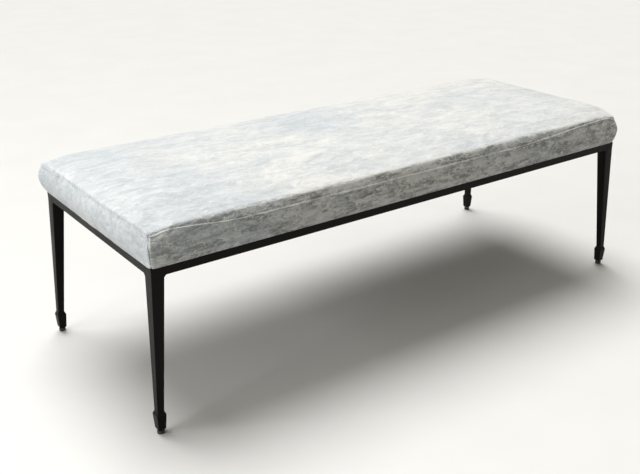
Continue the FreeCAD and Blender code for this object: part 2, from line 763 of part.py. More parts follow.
def make_dust_cover():
    """The black cloth under the seat, with a hole at each bolt that passes through it."""
    half_x = size("frame_length") / 2 - size("dust_inset")
    half_y = size("frame_depth") / 2 - size("dust_inset")
    thickness = size("dust_thickness")
    hole = Part.makeCylinder(float(sheet.evalExpression(BOLT_HOLE)), thickness)
    cloth = slab(half_x, half_y, 0, thickness).cut(at_bolts(hole))
    add_shape("dust_cover", cloth, size("frame_height") - thickness)


make_rails()
for corner_name, (right_sign, back_sign) in CORNERS.items():
    make_leg(corner_name, right_sign, back_sign)
for corner_name, (right_sign, back_sign) in CORNERS.items():
    make_foot(corner_name, right_sign, back_sign)
    make_glide(corner_name, right_sign, back_sign)
    make_corner_tab(corner_name, right_sign, back_sign)
make_cross_bar("cross_bar_left", -1)
make_cross_bar("cross_bar_right", 1)
make_welds()
make_deck()
make_fasteners()
make_cushion()
make_dust_cover()
make_staples("cover_staples", size("cover_staple_inset"), size("cover_staple_pitch"), 0)
make_staples(
    "dust_cover_staples",
    size("dust_staple_inset"),
    size("dust_staple_pitch"),
    -size("dust_thickness"),
)
doc.recompute()

# Tests before anything is written
for item in doc.Objects:
    if "Invalid" in item.State or "Error" in item.State:
        raise RuntimeError(f"{item.Name} failed: {item.State}")
for node in nodes:
    if node.Shape.isNull() or not node.Shape.isValid():
        raise RuntimeError(f"{node.Label} has no valid shape")

os.makedirs("parts", exist_ok=True)
for node in nodes:
    node.Shape.exportStep(f"parts/{node.Label}.step")
print(len(nodes), "nodes written")
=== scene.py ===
"""Looks of the upholstered bench: the cushion's velvet cover, the dust cloth, the painted legs,
spade feet and glides, the finish of every other piece, and the floor, lamps and camera."""
import math
import bmesh
import bpy
import numpy as np
from bpy.props import FloatProperty, FloatVectorProperty, PointerProperty
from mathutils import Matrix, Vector, noise


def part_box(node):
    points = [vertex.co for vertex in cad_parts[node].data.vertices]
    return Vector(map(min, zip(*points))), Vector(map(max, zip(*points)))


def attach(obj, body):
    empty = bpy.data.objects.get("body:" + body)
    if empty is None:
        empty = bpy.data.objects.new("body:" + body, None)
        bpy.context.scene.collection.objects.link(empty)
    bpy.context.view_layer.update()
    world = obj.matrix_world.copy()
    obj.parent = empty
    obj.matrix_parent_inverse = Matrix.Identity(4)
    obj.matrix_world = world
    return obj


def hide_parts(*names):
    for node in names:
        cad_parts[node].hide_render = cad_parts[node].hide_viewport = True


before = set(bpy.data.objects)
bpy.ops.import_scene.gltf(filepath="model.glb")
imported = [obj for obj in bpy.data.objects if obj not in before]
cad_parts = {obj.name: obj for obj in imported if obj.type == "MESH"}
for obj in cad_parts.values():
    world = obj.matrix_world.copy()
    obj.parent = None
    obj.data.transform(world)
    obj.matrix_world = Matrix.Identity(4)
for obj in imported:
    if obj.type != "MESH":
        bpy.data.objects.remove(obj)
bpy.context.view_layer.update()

bl_info = {
    "name": "Upholstered bench",
    "version": (1, 0, 0),
    "blender": (4, 5, 0),
    "location": "3D View > Sidebar > Bench",
    "description": "Dresses the packed bench with its cushion cover, dust cloth, legs, finishes and stage",
    "category": "Object",
}

FRAME_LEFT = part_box("left_rail")[0][0]
FRAME_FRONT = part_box("front_rail")[0][1]
FRAME_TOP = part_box("front_rail")[1][2]
DECK_LOW, DECK_HIGH = (corner[2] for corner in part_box("seat_deck"))
CLOTH_LOW, CLOTH_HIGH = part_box("dust_cover")
CORNERS = {
    "front_left": (-1, -1),
    "front_right": (1, -1),
    "back_left": (-1, 1),
    "back_right": (1, 1),
}

# Points on a section's side, shoulder and top
SIDE_STEPS, SHOULDER_STEPS, TOP_STEPS = 60, 24, 80
# Even spacing of the cover's lines along the top, across it and down the side
ALONG_STEP, ACROSS_STEP, DOWN_STEP = 0.012, 0.0065, 0.0085
# How far from a corner the cover is slack, drawn in, and led into its rounded outline
SLACK_REACH, DRAW_REACH, OUTLINE_REACH = 0.075, 0.040, 0.12
# Mark of the points under the deck, as a distance below the seam, and the limit that tells them apart
UNDERSIDE, COVER_LIMIT = 0.2, -0.15
SWELL_FRAMES = 20
INWARD_HELD = 0.85
# Faces of the cross bars, from the bench's middle, and the cloth's sag between them
BAR_INNER, BAR_OUTER = 0.232, 0.268
CLOTH_SAG = 0.003
FOOT_COLLAR, FOOT_EDGE = 0.0002, 0.0006
GLIDE_SIDES, GLIDE_EDGE = 48, 0.0007
GLIDE_RIM, GLIDE_RISE = 0.0022, 0.0005
SHARP_ANGLE = 0.5
WARM_FILL = (1.0, 0.935, 0.77, 1)
PALE_BACKDROP = (0.84, 0.84, 0.83, 1)
FLOOR_AS_LIT = (0.3, 0.3, 0.29)
SUN_SPREAD, SUN_TINT = 0.7, (1.0, 0.995, 0.985)
SUN_DIRECTION = (0.05, 0.38, 1.0)
END_LAMP_SIZE, END_LAMP_PLACE = (2.5, 2.0), (-4.2, 0.2, 1.5)
END_LAMP_AIM, END_LAMP_TINT = (0, 0, 0.3), (0.97, 0.99, 1.0)
CAMERA_PLACE = (-1.4466, -1.8223, 1.1699)
CAMERA_AIM = (-0.1506, -0.0550, 0.2363)


def length(label, text, default):
    """A size in metres that a user may change."""
    return FloatProperty(name=label, description=text, default=default, unit="LENGTH", precision=4)


def colour(label, text, default):
    """A finish colour that a user may change."""
    return FloatVectorProperty(
        name=label, description=text, default=default, subtype="COLOR", size=3, min=0, max=1)


class CushionSizes(bpy.types.PropertyGroup):
    """Sizes and colours of the velvet cushion."""
    half_length: length("Half length", "From the middle to the frame's outer face at an end", -FRAME_LEFT)
    half_width: length("Half width", "From the middle to the frame's outer face at a long side", -FRAME_FRONT)
    side_height: length("Side height", "From the frame to the seam at the corners", 0.077)
    cover_edge: length("Cover edge", "How far the cover's lower fold stands out from the frame", 0.001)
    belly: length("Belly", "How far the side stands out from the frame at most", 0.013)
    belly_height: length("Belly height", "Height of the side's widest line above the frame", 0.042)
    end_belly: length("End belly", "How far an end stands out from the frame at most", 0.021)
    end_belly_height: length("End belly height", "Height of an end's widest line above the frame", 0.050)
    shoulder: length("Shoulder", "Radius from the side into the top", 0.016)
    crown: length("Crown", "Rise of the top from the shoulder to the middle", 0.016)
    crown_reach: length("Crown reach", "How far in from the shoulder the top still rises", 0.180)
    end_plump: length("End plumpness", "How much fuller the shoulders are at the two ends", 0.006)
    side_plump: length("Side plumpness", "How much fuller the shoulders are along the sides", 0.0015)
    corner_radius: length("Corner radius", "Radius of the cover's corners seen from above", 0.016)
    corner_draw: length("Corner draw", "How far the corners are drawn in at the seam", 0.004)
    front_corner_draw: length("Front corner draw", "How far the two front corners are drawn in", 0.007)
    front_corner_slack: FloatProperty(
        name="Front corner slack",
        description="Share of the ends' fullness that the front corners lose", default=0.6)
    corner_drop: length("Corner drop", "How far the corners are drawn down at the seam", 0.008)
    seam_dip: length("Seam dip", "How far the long seams lie below the top edge", 0.015)
    dip_run_left: length("Left dip run", "Length over which a long seam sinks from the left corner", 0.230)
    dip_run_right: length("Right dip run", "Length over which a long seam sinks from the right corner", 0.440)
    turn_in: length("Turn-in", "Width of the cover turned in under the seat deck", 0.042)
    ridge: length("Seam ridge", "How far the seam's folded edges stand up", 0.0014)
    groove: length("Seam groove", "Depth of the groove just above the seam", 0.0005)
    swell: length("Swell", "How far the filling may push the cover out", 0.004)
    pile_warm: colour("Warm velvet", "Velvet where the pile is brushed flat", (0.88, 0.88, 0.86))
    pile_cool: colour("Cool velvet", "Velvet where the pile stands up", (0.66, 0.71, 0.755))


class LegSizes(bpy.types.PropertyGroup):
    """Sizes of the tapered legs, the spade feet and the glides."""
    head: length("Leg head", "Width of the leg's square head", 0.030)
    head_depth: length("Head depth", "Height of the upright part of the leg's head", 0.020)
    neck: length("Neck", "Width of the leg where it meets the foot", 0.016)
    neck_level: length("Neck level", "Height of the top of the foot", 0.058)
    foot_x: length("Foot along", "Middle of a foot, along the bench", 0.756)
    foot_y: length("Foot across", "Middle of a foot, across the bench", 0.2875)
    shoulder: length("Foot shoulder", "Widest width of the spade foot", 0.023)
    shoulder_level: length("Shoulder level", "Height of the foot's widest line", 0.0495)
    toe: length("Toe", "Width of the foot above its last taper", 0.0183)
    toe_level: length("Toe level", "Height of that line", 0.0132)
    sole: length("Sole", "Width of the foot's underside", 0.0128)
    sole_level: length("Sole level", "Height of the foot's underside", 0.009)
    soft_edge: length("Edge", "Width of the paint-softened edges", 0.0008)
    disc: length("Glide", "Diameter of the glide's disc", 0.017)
    disc_height: length("Glide height", "Height of the glide's disc", 0.0072)


class FinishColours(bpy.types.PropertyGroup):
    """Colours of the frame and the hidden pieces."""
    paint: colour("Paint", "Dark bronze paint of the frame", (0.007, 0.0064, 0.0055))
    steel: colour("Steel", "Zinc-plated bolts, nuts and staples", (0.62, 0.62, 0.60))
    plastic: colour("Glide", "Black plastic of the glides", (0.018, 0.018, 0.018))
    ply_light: colour("Light veneer", "Early wood of the seat deck", (0.62, 0.45, 0.28))
    ply_dark: colour("Dark veneer", "Late wood of the seat deck", (0.42, 0.27, 0.15))
    cloth: colour("Dust cloth", "Black cloth under the seat", (0.022, 0.022, 0.024))


class StageSettings(bpy.types.PropertyGroup):
    """The floor, the lamps and the camera."""
    floor: colour("Floor", "Colour of the plain floor", (0.80, 0.80, 0.79))
    lens: FloatProperty(name="Lens", description="Focal length on a 36 mm wide frame", default=50.28)
    key: FloatProperty(name="Top lamp", description="Strength of the soft light from above", default=2.9)
    side: FloatProperty(
        name="End lamp", description="Power of the lamp at the left end", default=85.0, unit="POWER")
    fill: FloatProperty(name="Fill", description="Strength of the light from all round", default=0.21)


class Wire:
    """One output in a finish's nodes. Sums and products of wires and numbers add Math nodes."""

    def __init__(self, finish, socket):
        self.finish = finish
        self.socket = socket

    def worked(self, operation, first, second):
        return self.finish.add("ShaderNodeMath", {"operation": operation}, {0: first, 1: second})

    def __add__(self, other):
        return self.worked("ADD", self, other)

    def __sub__(self, other):
        return self.worked("SUBTRACT", self, other)

    def __rsub__(self, other):
        return self.worked("SUBTRACT", other, self)

    def __mul__(self, other):
        return self.worked("MULTIPLY", self, other)

    __radd__ = __add__
    __rmul__ = __mul__


class Finish:
    """A material being made: its shader and the nodes that feed it."""

    def __init__(self, name):
        self.material = bpy.data.materials.new(name)
        self.material.use_nodes = True
        self.tree = self.material.node_tree
        self.tree.nodes.clear()
        shader = self.tree.nodes.new("ShaderNodeBsdfPrincipled")
        output = self.tree.nodes.new("ShaderNodeOutputMaterial")
        self.tree.links.new(shader.outputs[0], output.inputs[0])
        self.shader = shader
        self.place = self.add("ShaderNodeTexCoord", {}, {}, "Object")

    def add(self, kind, settings, sockets, output=0):
        """A node of that type, with its settings and the values or wires of its sockets."""
        node = self.tree.nodes.new(kind)
        for name, value in settings.items():
            if name == "stops":
                self.set_stops(node.color_ramp, value)
            else:
                setattr(node, name, value)
        for name, value in sockets.items():
            self.feed(node.inputs[name], value)
        return Wire(self, node.outputs[output])

    def set_stops(self, ramp, stops):
        while len(ramp.elements) < len(stops):
            ramp.elements.new(0.5)
        for element, (place, shade) in zip(ramp.elements, stops):
            element.position = place
            element.color = (*shade, 1) if isinstance(shade, tuple) else (shade, shade, shade, 1)

    def feed(self, socket, value):
        if isinstance(value, Wire):
            self.tree.links.new(value.socket, socket)
        elif hasattr(socket.default_value, "__len__") and len(socket.default_value) == 4:
            socket.default_value = (*value[:3], 1)
        else:
            socket.default_value = value

    def grain(self, scale, stretch=(1, 1, 1), turn=(0, 0, 0), detail=2.0, roughness=0.5, twist=0.0):
        """Soft random variation, stretched and turned as asked; its value is about 0 to 1."""
        place = self.add(
            "ShaderNodeMapping", {}, {"Vector": self.place, "Rotation": turn, "Scale": stretch})
        return self.add(
            "ShaderNodeTexNoise", {},
            {"Vector": place, "Scale": scale, "Detail": detail, "Roughness": roughness, "Distortion": twist},
        )

    def flakes(self, scale, stretch=(1, 1, 1), output="Distance", feature="F1"):
        """Scattered cells, such as pores or glints."""
        place = self.add("ShaderNodeMapping", {}, {"Vector": self.place, "Scale": stretch})
        return self.add(
            "ShaderNodeTexVoronoi", {"feature": feature}, {"Vector": place, "Scale": scale}, output)

    def ramp(self, value, *stops):
        """A value turned into another by stops of (place, shade)."""
        return self.add("ShaderNodeValToRGB", {"stops": stops}, {"Fac": value})

    def mix(self, share, first, second, blend="MIX"):
        """Two colours mixed by a share."""
        node = self.tree.nodes.new("ShaderNodeMix")
        node.data_type = "RGBA"
        node.blend_type = blend
        self.feed(node.inputs[0], share)
        self.feed(node.inputs[6], first)
        self.feed(node.inputs[7], second)
        return Wire(self, node.outputs[2])

    def bump(self, height, distance, under=None):
        """A bump of that height in metres, on top of another."""
        sockets = {"Height": height, "Distance": distance}
        if under:
            sockets["Normal"] = under
        return self.add("ShaderNodeBump", {}, sockets, "Normal")

    def surface(self, **sockets):
        """Sets the shader's sockets; Base_Color stands for Base Color."""
        for name, value in sockets.items():
            self.feed(self.shader.inputs[name.replace("_", " ")], value)
        return self.material


def velvet_finish(cushion):
    """Pale crushed velvet: cloudy warm and cool patches, brushed streaks, fine pile, darker crush patches
    that deepen into painted shade on the long sides, and painted glints.
    """
    velvet = Finish("crushed_velvet")
    clouds = velvet.grain(2.4, (0.9, 1.5, 1.5), detail=4, roughness=0.55, twist=0.6)
    mottle = velvet.grain(30, (0.45, 1.0, 1.4), (0, 0, 0.3), detail=5, roughness=0.65, twist=0.8)
    strokes = velvet.grain(65, (0.16, 1.0, 1.0), (0, 0, -0.1), detail=4, roughness=0.68)
    crush = velvet.grain(85, (0.5, 1.0, 1.0), (0, 0, 0.5), detail=5, roughness=0.68, twist=1.2)
    pile = velvet.grain(700, (0.5, 1.0, 1.0), detail=2)
    lengthwise = velvet.add("ShaderNodeSeparateXYZ", {}, {0: velvet.place}, "X")
    lie = velvet.ramp(clouds * 0.65 + mottle * 0.35 + lengthwise * 0.09, (0.40, 0.0), (0.58, 1.0))
    shade = velvet.mix(lie, tuple(cushion.pile_cool), tuple(cushion.pile_warm))
    facing = velvet.add("ShaderNodeNewGeometry", {}, {}, "Normal")
    toward_side = velvet.add("ShaderNodeSeparateXYZ", {}, {0: facing}, "Y")
    on_side = velvet.ramp(toward_side * toward_side, (0.1, 0.24), (0.7, 1.0))
    # Darker crush patches, faint on the top; on the long sides they deepen into painted shade, down to 0.3 of
    # the warm velvet.
    crush_patches_and_shade = velvet.ramp(mottle * 0.3 + strokes * 0.35 + crush * 0.35, (0.42, 1.0), (0.54, 0.0))
    shade = velvet.mix(crush_patches_and_shade * on_side * 0.9, shade, tuple(0.30 * part for part in cushion.pile_warm))
    # Painted glints: pale flecks of crushed pile painted into the colour, stronger on the long sides.
    painted_glint = velvet.ramp(crush * 0.65 + pile * 0.35, (0.52, 0.0), (0.60, 1.0))
    shade = velvet.mix(painted_glint * (on_side + 0.25), shade, (0.97, 0.97, 0.96))
    normal = velvet.bump(pile, 0.0008)
    normal = velvet.bump(crush, 0.0022, normal)
    normal = velvet.bump(mottle, 0.0035, normal)
    return velvet.surface(
        Base_Color=shade,
        Roughness=velvet.ramp(strokes, (0.3, 0.5), (0.7, 0.75)),
        Sheen_Weight=0.35,
        Sheen_Roughness=0.35,
        Sheen_Tint=(0.9, 0.95, 1.0),
        Specular_IOR_Level=0.25,
        Normal=normal,
    )


def paint_finish(colours):
    """Satin dark bronze paint over steel, with a fine stipple."""
    paint = Finish("bronze_paint")
    cloudy = paint.grain(9, detail=4, roughness=0.6)
    stipple = paint.grain(1400, detail=2)
    orange_peel = paint.grain(260, detail=2)
    base = tuple(colours.paint)
    lighter, speck = tuple(1.7 * part for part in base), tuple(3 * part for part in base)
    shade = paint.mix(paint.ramp(cloudy, (0.35, 0.0), (0.7, 1.0)), base, lighter)
    shade = paint.mix(paint.ramp(stipple, (0.55, 0.0), (0.75, 0.35)), shade, speck)
    normal = paint.bump(orange_peel, 0.0002, paint.bump(stipple, 0.00008))
    return paint.surface(
        Base_Color=shade,
        Roughness=paint.ramp(cloudy, (0.3, 0.34), (0.7, 0.46)),
        Coat_Weight=paint.ramp(cloudy, (0.3, 0.03), (0.7, 0.0)),
        Coat_Roughness=0.25,
        Specular_IOR_Level=0.06,
        Normal=normal,
    )


def steel_finish(colours):
    """Zinc-plated steel, a little spotted and brushed."""
    steel = Finish("plated_steel")
    spots = steel.grain(300, detail=4, roughness=0.7)
    lines = steel.grain(1500, (1, 1, 0.1), detail=2)
    base = tuple(colours.steel)
    dull = tuple(0.6 * part for part in base)
    return steel.surface(
        Base_Color=steel.mix(steel.ramp(spots, (0.4, 0.0), (0.7, 1.0)), base, dull),
        Metallic=1.0,
        Roughness=steel.ramp(spots * 0.6 + lines * 0.4, (0.3, 0.28), (0.7, 0.5)),
        Normal=steel.bump(lines, 0.00005),
    )


def plastic_finish(colours):
    """Moulded black plastic, scuffed dull and dusty low down."""
    plastic = Finish("glide_plastic")
    scuffs = plastic.grain(700, (1, 1, 3), detail=3)
    wear = plastic.ramp(scuffs, (0.5, 0.0), (0.8, 1.0))
    return plastic.surface(
        Base_Color=plastic.mix(wear, tuple(colours.plastic), (0.10, 0.10, 0.095)),
        Roughness=plastic.ramp(scuffs, (0.3, 0.4), (0.7, 0.62)),
        Normal=plastic.bump(scuffs, 0.0001),
    )


def plywood_finish(colours):
    """Birch plywood: long figure on the faces and thin layers on the edges."""
    wood = Finish("birch_plywood")
    figure = wood.grain(14, (0.35, 6, 1), detail=5, roughness=0.6, twist=1.2)
    pores = wood.grain(420, (0.06, 1, 1), detail=2)
    height = wood.add("ShaderNodeSeparateXYZ", {}, {0: wood.place}, "Z")
    layers = wood.add("ShaderNodeMath", {"operation": "PINGPONG"}, {0: height, 1: 0.0015}) * 660
    light, dark = tuple(colours.ply_light), tuple(colours.ply_dark)
    veneer = wood.mix(wood.ramp(figure, (0.35, 0.0), (0.65, 1.0)), light, dark)
    veneer = wood.mix(wood.ramp(layers, (0.4, 0.0), (0.6, 0.25)), veneer, dark)
    return wood.surface(
        Base_Color=wood.mix(wood.ramp(pores, (0.6, 0.0), (0.75, 0.5)), veneer, (0.22, 0.13, 0.07)),
        Roughness=wood.ramp(figure, (0.3, 0.55), (0.7, 0.75)),
        Normal=wood.bump(pores, 0.0002),
    )


def dust_cloth_finish(colours):
    """Black spun-bonded cloth with its grid of pressed points and stray fibres."""
    cloth = Finish("spun_dust_cloth")
    points = cloth.flakes(520)
    fibres = cloth.grain(600, (0.3, 1, 1), (0, 0, 0.6), detail=3, roughness=0.7, twist=1.5)
    pressed = cloth.ramp(points, (0.25, 0.0), (0.4, 1.0))
    base = tuple(colours.cloth)
    paler = tuple(2.6 * part for part in base)
    return cloth.surface(
        Base_Color=cloth.mix(cloth.ramp(fibres, (0.4, 0.0), (0.7, 1.0)), base, paler),
        Roughness=cloth.ramp(pressed, (0.0, 0.6), (1.0, 0.9)),
        Normal=cloth.bump(pressed, 0.0002, cloth.bump(fibres, 0.0001)),
    )


def clear_selection():
    """Leaves edit mode and selects nothing, so that an operator acts only on what comes next."""
    if bpy.context.object and bpy.context.object.mode != "OBJECT":
        bpy.ops.object.mode_set(mode="OBJECT")
    bpy.ops.object.select_all(action="DESELECT")


def make_active(piece):
    """Selects that piece alone."""
    clear_selection()
    piece.select_set(True)
    bpy.context.view_layer.objects.active = piece


def pick_faces(test):
    """In edit mode, selects the faces whose centre and normal pass the test."""
    bpy.ops.mesh.select_mode(type="FACE")
    mesh = bmesh.from_edit_mesh(bpy.context.object.data)
    for face in mesh.faces:
        face.select_set(test(face.calc_center_median(), face.normal))
    mesh.select_flush_mode()
    bmesh.update_edit_mesh(bpy.context.object.data)


def pick_bottom():
    """In edit mode, selects the lowest face that looks down."""
    faces = bmesh.from_edit_mesh(bpy.context.object.data).faces
    lowest = min(face.calc_center_median().z for face in faces)
    pick_faces(lambda middle, normal: normal.z < -0.9 and middle.z < lowest + 0.0001)


def start_block(name, width, top, bottom, x, y):
    """A square block between two heights, left in edit mode."""
    clear_selection()
    bpy.ops.mesh.primitive_cube_add(
        size=1, location=(x, y, (top + bottom) / 2), scale=(width, width, top - bottom))
    bpy.context.object.name = name
    bpy.ops.object.transform_apply(location=True, rotation=True, scale=True)
    bpy.ops.object.mode_set(mode="EDIT")


def draw_down(drop, ratio, x=0.0, y=0.0):
    """Extrudes the bottom face down by a drop, moved by x and y, and scales it."""
    pick_bottom()
    bpy.ops.mesh.extrude_region_move(TRANSFORM_OT_translate={"value": (x, y, -drop)})
    bpy.ops.transform.resize(value=(ratio, ratio, 1))


def finish_edges(width, segments=3, sharp_only=False):
    """Softens every edge, or only the sharp ones, and leaves edit mode with even normals."""
    if sharp_only:
        bpy.ops.mesh.select_mode(type="EDGE")
        bpy.ops.mesh.select_all(action="DESELECT")
        bpy.ops.mesh.edges_select_sharp(sharpness=SHARP_ANGLE)
    else:
        bpy.ops.mesh.select_all(action="SELECT")
    bpy.ops.mesh.bevel(offset=width, segments=segments, profile=0.6)
    bpy.ops.mesh.select_all(action="SELECT")
    bpy.ops.mesh.normals_make_consistent(inside=False)
    bpy.ops.object.mode_set(mode="OBJECT")
    bpy.ops.object.shade_smooth()
    weigh = bpy.context.object.modifiers.new("even_normals", "WEIGHTED_NORMAL")
    bpy.ops.object.modifier_apply(modifier=weigh.name)


def put_at_corners(first, family, body, node, finish):
    """Copies a piece made at the front left corner to all four corners, mirrored into place."""
    first.data.materials.clear()
    first.data.materials.append(finish)
    for corner, (side_x, side_y) in CORNERS.items():
        piece = first
        if corner != "front_left":
            piece = first.copy()
            piece.data = first.data.copy()
            bpy.context.collection.objects.link(piece)
            make_active(piece)
            bpy.ops.object.mode_set(mode="EDIT")
            bpy.ops.mesh.select_all(action="SELECT")
            bpy.ops.transform.resize(value=(-side_x, -side_y, 1), center_override=(0, 0, 0))
            bpy.ops.mesh.normals_make_consistent(inside=False)
            bpy.ops.object.mode_set(mode="OBJECT")
        piece.name = f"{family}_{corner}"
        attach(piece, body.format(corner))
        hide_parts(node.format(corner))


class Section:
    """A cut across the cushion's edge: how far out and how high the cover is, by its length."""

    def __init__(self, cushion, belly, belly_height, plump):
        bulge = belly - cushion.cover_edge
        rise = np.linspace(0, cushion.side_height, SIDE_STEPS)
        out = belly - bulge * (rise / belly_height - 1) ** 2
        lean = math.atan(2 * bulge * (cushion.side_height - belly_height) / belly_height ** 2)
        level = math.atan(2 * cushion.crown / cushion.crown_reach)
        turn = np.linspace(lean, math.pi / 2 - level, SHOULDER_STEPS)[1:]
        arc_out = out[-1] + cushion.shoulder * (np.cos(turn) - math.cos(lean))
        arc_up = rise[-1] + cushion.shoulder * (np.sin(turn) - math.sin(lean))
        run = np.linspace(0, 1, TOP_STEPS)[1:]
        crown_out = arc_out[-1] - run * cushion.crown_reach
        crown_up = arc_up[-1] + cushion.crown * (1 - (1 - run) ** 2)
        self.out = np.concatenate([out, arc_out, crown_out])
        self.up = np.concatenate([rise, arc_up, crown_up])
        self.reach = np.concatenate([[0], np.cumsum(np.hypot(np.diff(self.out), np.diff(self.up)))])
        self.side = self.reach[len(rise) - 1]
        past_seam = np.maximum(self.reach - self.side, 0) / (1.4 * cushion.shoulder)
        extra = plump * past_seam * np.exp(1 - past_seam)
        along_out = np.gradient(self.out, self.reach)
        along_up = np.gradient(self.up, self.reach)
        self.out = self.out + extra * along_up
        self.up = self.up - extra * along_out

    def at(self, reach):
        """(out, up) at a length of cover above the lower fold; past the crown the top is level."""
        beyond = np.maximum(reach - self.reach[-1], 0)
        return np.interp(reach, self.reach, self.out) - beyond, np.interp(reach, self.reach, self.up)

    def at_height(self, up):
        """Length of cover from the lower fold to a height on the side."""
        return np.interp(up, self.up[:SIDE_STEPS], self.reach[:SIDE_STEPS])


def spread(near, step, total):
    """Distances from 0 to a total: the near ones as given, then even steps."""
    rest = max(1, round((total - near[-1]) / step))
    return np.concatenate([near, np.linspace(near[-1], total, rest + 1)[1:]])


def step_between(value, low, high):
    """0 below low, 1 above high, smooth between."""
    share = np.clip((value - low) / (high - low), 0, 1)
    return share * share * (3 - 2 * share)


def seam_height(cushion, x):
    """Height of a long seam above the frame: at the top edge by the corners, and lower between."""
    from_left = step_between(x + cushion.half_length, 0.02, cushion.dip_run_left)
    from_right = step_between(cushion.half_length - x, 0.02, cushion.dip_run_right)
    return cushion.side_height - cushion.seam_dip * np.minimum(from_left, from_right)


def round_corners(x, y, half_x, half_y, radius):
    """Moves plan points in the square corners of an outline onto rounded ones."""
    in_x = np.maximum(np.abs(x) - (half_x - radius), 0)
    in_y = np.maximum(np.abs(y) - (half_y - radius), 0)
    both = (in_x > 0) & (in_y > 0)
    ratio = np.where(both, np.maximum(in_x, in_y) / np.maximum(np.hypot(in_x, in_y), 1e-9), 1)
    new_x = np.where(both, np.sign(x) * (np.abs(x) - in_x + in_x * ratio), x)
    new_y = np.where(both, np.sign(y) * (np.abs(y) - in_y + in_y * ratio), y)
    return new_x, new_y


def draw_corners(cushion, x, y, up):
    """Pulls the cover in and down at its corners, more towards the seam."""
    away = np.hypot(np.abs(x) - cushion.half_length, np.abs(y) - cushion.half_width)
    full = np.maximum(np.abs(x) - cushion.half_length, 0)
    x = x - np.sign(x) * full * cushion.front_corner_slack * np.exp(-(away / SLACK_REACH) ** 2) * (y < 0)
    pull = np.exp(-(away / DRAW_REACH) ** 2) * np.clip(up / cushion.side_height, 0, 1)
    inward = 0.7 * np.where(y < 0, cushion.front_corner_draw, cushion.corner_draw) * pull
    return x - np.sign(x) * inward, y - np.sign(y) * inward, up - cushion.corner_drop * pull


SEAM_LINES = np.array([0, 1.5, 3, 4.5, 6.5, 9, 12, 16, 21, 27, 34, 42, 50]) / 1000


def cover_points(cushion):
    """Points of the cover's top grid and its rings, with each point's distance above the seam."""
    ends = Section(cushion, cushion.end_belly, cushion.end_belly_height, cushion.end_plump)
    sides = Section(cushion, cushion.belly, cushion.belly_height, cushion.side_plump)
    crest = ends.up[-1]
    total_x = ends.reach[-1] - ends.side + cushion.half_length + ends.out[-1]
    total_y = sides.reach[-1] - sides.side + cushion.half_width + sides.out[-1]
    half_x = spread(SEAM_LINES, ALONG_STEP, total_x)
    half_y = spread(SEAM_LINES, ACROSS_STEP, total_y)
    lines_x = np.concatenate([half_x, half_x[-2::-1]])
    lines_y = np.concatenate([half_y, half_y[-2::-1]])
    sign_x = np.where(np.arange(len(lines_x)) < len(half_x), -1.0, 1.0)
    sign_y = np.where(np.arange(len(lines_y)) < len(half_y), -1.0, 1.0)
    out_x, up_x = ends.at(ends.side + lines_x)
    plan_x = sign_x * (cushion.half_length + out_x)
    seam_up = seam_height(cushion, plan_x)
    seam_reach = sides.at_height(seam_up)
    stretch = (sides.side + total_y - seam_reach) / total_y
    out_y, up_y = sides.at(seam_reach[:, None] + lines_y[None, :] * stretch[:, None])
    x = np.repeat(plan_x[:, None], len(lines_y), 1)
    y = sign_y[None, :] * (cushion.half_width + out_y)
    drop = (((crest - up_x) ** 4)[:, None] + (crest - up_y) ** 4) ** 0.25
    up = crest - drop
    edge_out = ends.at(ends.side)[0]
    above = np.minimum(lines_x[:, None], lines_y[None, :] * stretch[:, None])

    along, across = len(lines_x), len(lines_y)
    ring = [(i, 0) for i in range(along)] + [(along - 1, j) for j in range(1, across)]
    ring += [(i, across - 1) for i in range(along - 2, -1, -1)] + [(0, j) for j in range(across - 2, 0, -1)]
    ring_i = np.array([i for i, j in ring])
    ring_j = np.array([j for i, j in ring])
    ring_x, ring_y, ring_up = x[ring_i, ring_j], y[ring_i, ring_j], up[ring_i, ring_j]
    on_long = (ring_j == 0) | (ring_j == across - 1)
    level = np.where(on_long, seam_up[ring_i], cushion.side_height)
    long_start = np.where(on_long, seam_reach[ring_i], sides.side)
    start_y = sides.at(long_start)[0]

    side_out = sides.at(sides.side)[0]
    grid_x, grid_y = round_corners(
        x, y, cushion.half_length + edge_out, cushion.half_width + side_out, cushion.corner_radius)
    grid_x, grid_y, grid_up = draw_corners(cushion, grid_x, grid_y, up)
    points = [np.stack([grid_x, grid_y, grid_up + FRAME_TOP], 2).reshape(-1, 3)]
    distance = [above.reshape(-1)]

    def ring_of(end_out, long_out, height, below):
        """One closed row of points round the cushion."""
        zone = OUTLINE_REACH
        share_x = np.clip((np.abs(ring_x) - cushion.half_length + zone) / zone, 0, 1)
        share_y = np.clip((np.abs(ring_y) - cushion.half_width + zone) / zone, 0, 1)
        px = ring_x + np.sign(ring_x) * share_x * (end_out - edge_out)
        py = ring_y + np.sign(ring_y) * share_y * (long_out - start_y)
        px, py = round_corners(
            px, py, cushion.half_length + end_out, cushion.half_width + long_out, cushion.corner_radius)
        px, py, pz = draw_corners(cushion, px, py, height)
        points.append(np.stack([px, py, pz + FRAME_TOP], 1))
        distance.append(-below)

    down = spread(SEAM_LINES[1:7], DOWN_STEP, ends.side - 0.004)
    down = np.concatenate([down, [ends.side - 0.0015, ends.side]])
    for step in down:
        left = 1 - step / ends.side
        end_out, end_up = ends.at(np.full(len(ring), ends.side * left))
        long_out, long_up = sides.at(long_start * left)
        height = np.where(on_long, long_up, end_up) * ring_up / level
        ring_of(end_out, long_out, height, long_start * (1 - left))
    flat = np.zeros(len(ring))
    thick = DECK_LOW - FRAME_TOP - 0.0001
    deck_side = -0.0002
    for out, height in (
        (-0.004, 0.0), (-cushion.turn_in, 0.0), (-cushion.turn_in, thick), (-0.004, thick),
        (deck_side, thick), (deck_side, DECK_HIGH - FRAME_TOP + 0.0001),
    ):
        ring_of(flat + out, flat + out, flat + height, flat + UNDERSIDE)
    return np.concatenate(points), np.concatenate(distance), along, across, ring_i * across + ring_j


